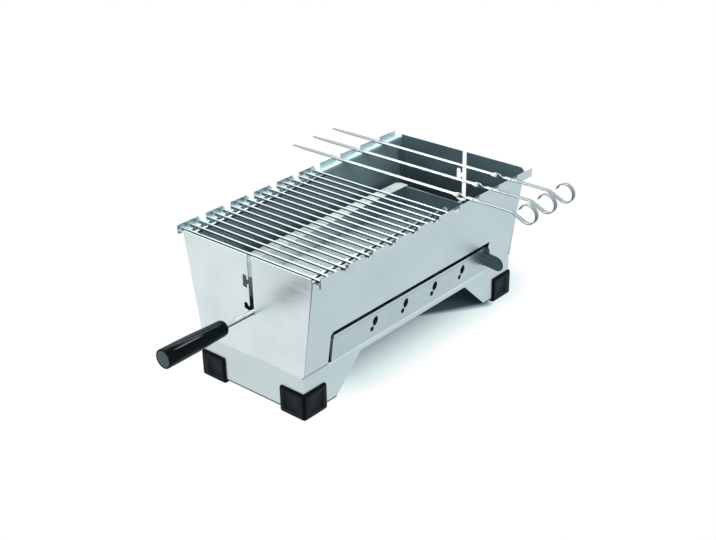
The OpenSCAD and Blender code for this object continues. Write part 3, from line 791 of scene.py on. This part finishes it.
# The pan's tones are painted light and shade: painted light on its tops, its floor, its near-facing
# sides and its front end, and painted shade that deepens towards the rear and on the faces turned
# away
pan_front_painted_light = (0.9, 0.94, 0.95)
flange_painted_light = (0.87, 0.99, 1.0)
pan_painted_light = (0.86, 1.0, 1.0)
pan_floor_shade = (0.2, 0.32, 0.36)
pan_rearward_shade = (0.15, 0.22, 0.25)
pan_deep_shade = (0.06, 0.08, 0.09)
on_pan_floor = below(pan_floor_z + 8 * mm, 4 * mm)
pan_steel = steel("pan_steel", (0.88, 0.91, 0.92), 0.3, along_trough,
                  [(flange_painted_light, 0.0, [upper_side]),
                   (pan_painted_light, 0.0, [on_pan_floor]),
                   (pan_painted_light, 0.0, [near_side]),
                   (pan_floor_shade, 0.4, [on_pan_floor, placed_at((1, 0.3, 0), -40 * mm, 180 * mm)]),
                   (pan_rearward_shade, 0.4, [near_side, behind(-60 * mm, 220 * mm)]),
                   (pan_front_painted_light, 0.1, [front_side]),
                   (pan_deep_shade, 0.4, [front_side, behind(0, soft)]),
                   (pan_rearward_shade, 0.2, [front_side, behind(inner_rear, soft)]),
                   (pan_deep_shade, 0.4, [upper_side, behind(pan_rear - 6 * mm), nearer(30 * mm, soft)]),
                   (pan_deep_shade, 0.4, [rear_side]),
                   (pan_deep_shade, 0.4, [far_side])])
dress(node["charcoal_pan"], pan_steel)
# Painted shade on the undersides of round steel
round_under_shade = (0.05, 0.065, 0.07)
shaft_steel = steel("shaft_steel", (0.66, 0.75, 0.77), 0.38, (420, 60, 60),
                    [(round_under_shade, 1.0, [facing((0, 0, -1), -0.45, 0.0)])], 0.02, 0.005 * mm)
dress(node["lift_shaft"], shaft_steel)
dress(node["rear_pin"], shaft_steel)

nut_low, nut_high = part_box("pan_nuts")
shaft_low, shaft_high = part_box("lift_shaft")
shaft_y = (shaft_low[1] + shaft_high[1]) / 2
shaft_z = (shaft_low[2] + shaft_high[2]) / 2
nut_thick = 3.0 * mm
nut_r = 5.77 * mm
nut_face_r = 5.0 * mm
nut_chamfer = 0.35 * mm
pan_sheet = 1.0 * mm
nut_starts = [nut_low[0], nut_low[0] + nut_thick + pan_sheet,
              nut_high[0] - 2 * nut_thick - pan_sheet, nut_high[0] - nut_thick]
nuts = turned("shaft_nuts", (nut_starts[0], shaft_y, shaft_z), (1, 0, 0),
              [(0, nut_face_r), (nut_chamfer, nut_r), (nut_thick - nut_chamfer, nut_r),
               (nut_thick, nut_face_r)], 6)
repeat(nuts, [(x, shaft_y, shaft_z) for x in nut_starts])
dress(nuts, rivet_steel)
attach(nuts, "pan_lift")
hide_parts("pan_nuts")


# The grip is turned glossy black plastic, straight at its outer end and drawn in towards the shaft.
# A grey cap is pressed into its outer end and nearly fills it.
grip_low, grip_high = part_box("grip")
grip_l = grip_high[0] - grip_low[0]
grip_r = (grip_high[2] - grip_low[2]) / 2
cap_r = grip_r - 1.5 * mm
highlight_end = grip_low[0] + 0.6 * grip_l


def streak(angle, begin, full):
    """A painted highlight line along the grip, at an angle round it from its top towards the near
    side.
    """
    return facing((0, -math.sin(math.radians(angle)), math.cos(math.radians(angle))), begin, full)


# Three painted highlights run along the grip
top_highlight = ((0.016, 0.036, 0.048), 0.0, [streak(4, 0.983, 0.995)])
bright_highlight = ((0.11, 0.155, 0.175), 0.0, [streak(36, 0.9955, 0.999),
                                             before(highlight_end, 0.1 * grip_l)])
low_highlight = ((0.012, 0.023, 0.03), 0.0, [streak(106.7, 0.98, 0.992)])
grip_plastic = moulded("grip_plastic", (0.001, 0.003, 0.004), (0.002, 0.005, 0.006), 0.12, 0.06,
                       0.0005 * mm, [top_highlight, bright_highlight, low_highlight])
grip_stations = [(2.4 * mm, cap_r), (0.5 * mm, cap_r), (0.1 * mm, cap_r + 0.3 * mm),
                 (0.15 * mm, grip_r - 0.6 * mm), (0.5 * mm, grip_r - 0.2 * mm),
                 (1.2 * mm, grip_r), (0.30 * grip_l, grip_r - 0.1 * mm),
                 (0.48 * grip_l, grip_r - 0.4 * mm), (0.62 * grip_l, grip_r - 0.9 * mm),
                 (0.76 * grip_l, grip_r - 1.5 * mm), (0.88 * grip_l, grip_r - 1.9 * mm)]
end_r = grip_r - 2.0 * mm
round_r = 5.5 * mm
for angle in range(0, 91, 15):
    bend = math.radians(angle)
    grip_stations.append((grip_l - round_r + round_r * math.sin(bend),
                          end_r - round_r + round_r * math.cos(bend)))
grip = turned("hand_grip", (grip_low[0], shaft_y, shaft_z), (1, 0, 0), grip_stations, 64)
smooth(grip, 40)
dress(grip, grip_plastic)
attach(grip, "pan_lift")
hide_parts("grip")

cap_plastic = moulded("cap_plastic", (0.065, 0.1, 0.115), (0.09, 0.13, 0.145), 0.5, 0.3, 0.02 * mm)
cap = turned("grip_end_cap", (grip_low[0], shaft_y, shaft_z), (1, 0, 0),
             [(0.2 * mm, 2.0 * mm), (0.25 * mm, 6.0 * mm), (0.35 * mm, cap_r - 0.9 * mm),
              (0.7 * mm, cap_r - 0.2 * mm), (2.3 * mm, cap_r - 0.2 * mm)], 64)
smooth(cap, 40)
dress(cap, cap_plastic)
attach(cap, "pan_lift")
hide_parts("grip_cap")


# The grate is eighteen straight steel rods, rounded at their ends, that rest on both ledges. Two
# longer wires lie under them just inside the walls, resistance-welded at every crossing.
def rod_profile(length, radius, edge, rounding):
    """The stations of a straight rod whose ends are rounded off over a short length."""
    start = [(0, 0.5 * radius), (edge, 0.85 * radius), (rounding, radius)]
    return start + [(length - distance, wide) for distance, wide in reversed(start)]


# The rods get the painted shade on their undersides
rod_steel = steel("rod_steel", (0.76, 0.87, 0.89), 0.32, (300, 5, 300),
                  [(round_under_shade, 1.0, [facing((0, 0, -1), -0.72, -0.35)])], 0.02, 0.01 * mm)
rods_low, rods_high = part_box("grate_rods")
rod_r = (rods_high[2] - rods_low[2]) / 2
rod_l = rods_high[1] - rods_low[1]
rod_count = 18
rod_step = (rods_high[0] - rods_low[0] - 2 * rod_r) / (rod_count - 1)
rod_places = [(rods_low[0] + rod_r + i * rod_step, rods_low[1], rods_low[2] + rod_r)
              for i in range(rod_count)]
rods = turned("grate_cross_rods", rod_places[0], (0, 1, 0),
              rod_profile(rod_l, rod_r, 0.35 * mm, 0.9 * mm), 20)
repeat(rods, rod_places)
smooth(rods, 40)
dress(rods, rod_steel)
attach(rods, "grill_grate")
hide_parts("grate_rods")

wires_low, wires_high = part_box("grate_wires")
wire_r = (wires_high[2] - wires_low[2]) / 2
wire_l = wires_high[0] - wires_low[0]
wire_places = [(wires_low[0], y, wires_low[2] + wire_r)
               for y in (wires_low[1] + wire_r, wires_high[1] - wire_r)]
wires = turned("grate_long_wires", wire_places[0], (1, 0, 0),
               rod_profile(wire_l, wire_r, 0.4 * mm, 1.0 * mm), 20)
repeat(wires, wire_places)
smooth(wires, 40)
dress(wires, rod_steel)
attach(wires, "grill_grate")
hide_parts("grate_wires")

weld_half = 1.3 * mm
weld_z = rods_low[2] - weld_half
weld_places = [(rod[0], wire[1], weld_z) for rod in rod_places for wire in wire_places]
welds = turned("grate_welds", weld_places[0], (0, 0, 1),
               [(0, 1.0 * mm), (0.4 * mm, 1.9 * mm), (weld_half, 2.3 * mm),
                (2 * weld_half - 0.4 * mm, 1.8 * mm), (2 * weld_half, 0.9 * mm)], 10)
repeat(welds, weld_places)
smooth(welds, 60)
dress(welds, steel("weld_steel", (0.5, 0.54, 0.56), 0.45, (300, 300, 300)))
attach(welds, "grill_grate")


# Each skewer is one flat steel strip: a blade with a point, a half-turn twist inside the near rail,
# and a handle that dips and then curls up into an open loop.
# Painted shade on the skewer: darker on the blade beyond the far wall, on the handle, and on its
# undersides
blade_painted_shade = (0.30, 0.35, 0.365)
handle_painted_shade = (0.38, 0.45, 0.47)
strip_under_shade = (0.12, 0.15, 0.16)
skewer_steel = steel("skewer_steel", (0.72, 0.81, 0.83), 0.36, (300, 8, 300),
                     [(blade_painted_shade, 1.0, [farther(90 * mm, 35 * mm)]),
                      (handle_painted_shade, 1.0, [nearer(-100 * mm, 20 * mm)]),
                      (strip_under_shade, 1.0, [facing((0, 0, -1), -0.85, 0.2)])], 0.02, 0.01 * mm)
strip_w = 6.2 * mm
strip_t = 1.2 * mm
strip_round = 0.3 * mm
strip_z = rods_low[2] + strip_t / 2
tip_taper = 26 * mm
tip_narrows = 0.3
point_l = 1 * mm
point_narrows = 0.35
point_thins = 0.5
twist_out = middle_y - 96.75 * mm
twist_in = twist_out + 20 * mm
twist_steps = 24
twist_step = (twist_out - twist_in) / twist_steps
dip_start = middle_y - 159.75 * mm
dip_slope = math.radians(24)
dip_r = 12 * mm
loop_r = 12 * mm
loop_centre_y = middle_y - 185.96 * mm
loop_rise = 2.6 * mm
loop_sweep = math.radians(277)


def at_twist(face):
    return all(abs(vert.co.y - twist_in) < slack for vert in face.verts)


for name in ("skewer_1", "skewer_2", "skewer_3"):
    low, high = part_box(name)
    strip_x = (low[0] + high[0]) / 2
    bpy.ops.object.select_all(action="DESELECT")
    bpy.ops.mesh.primitive_plane_add(size=1, location=(strip_x, twist_in, strip_z),
                                     rotation=(math.radians(90), 0, 0))
    strip = bpy.context.object
    strip.name = name + "_strip"
    strip.scale = (strip_w, strip_t, 1)
    bpy.ops.object.transform_apply(location=True, rotation=True, scale=True)
    edit(strip)
    bpy.ops.mesh.select_all(action="SELECT")
    bpy.ops.mesh.bevel(offset=strip_round, segments=2, affect="VERTICES")
    done()
    blade = copy_of(strip)

    edit(blade)
    bpy.ops.mesh.select_all(action="SELECT")
    extrude_by(0, high[1] - tip_taper - twist_in, 0)
    extrude_by(0, tip_taper - point_l, 0)
    bpy.ops.transform.resize(value=(tip_narrows, 1, 1))
    extrude_by(0, point_l, 0)
    bpy.ops.transform.resize(value=(point_narrows, 1, point_thins))
    pick(blade, "faces", at_twist)
    bpy.ops.mesh.delete(type="ONLY_FACE")
    done()

    edit(strip)
    bpy.ops.mesh.select_all(action="SELECT")
    for step in range(twist_steps):
        extrude_by(0, twist_step, 0)
        here = twist_in + (step + 1) * twist_step
        bpy.ops.transform.rotate(value=math.radians(180 / twist_steps), orient_axis="Y",
                                 center_override=(strip_x, here, strip_z))
    extrude_by(0, dip_start - twist_out, 0)
    bpy.ops.mesh.spin(steps=6, angle=-dip_slope, axis=(1, 0, 0),
                      center=(strip_x, dip_start, strip_z - dip_r))
    dip_end = Vector((strip_x, dip_start - dip_r * math.sin(dip_slope),
                      strip_z - dip_r * (1 - math.cos(dip_slope))))
    loop_centre = Vector((strip_x, loop_centre_y, strip_z + loop_rise))
    loop_start = loop_centre + loop_r * Vector((0, math.sin(dip_slope), -math.cos(dip_slope)))
    extrude_by(*(loop_start - dip_end))
    bpy.ops.mesh.spin(steps=32, angle=loop_sweep, axis=(1, 0, 0), center=loop_centre)
    pick(strip, "faces", at_twist)
    bpy.ops.mesh.delete(type="ONLY_FACE")
    done()

    join(strip, [blade])
    tidy_normals(strip)
    smooth(strip, 35)
    dress(strip, skewer_steel)
    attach(strip, "skewer_body_" + name[-1])
    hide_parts(name)
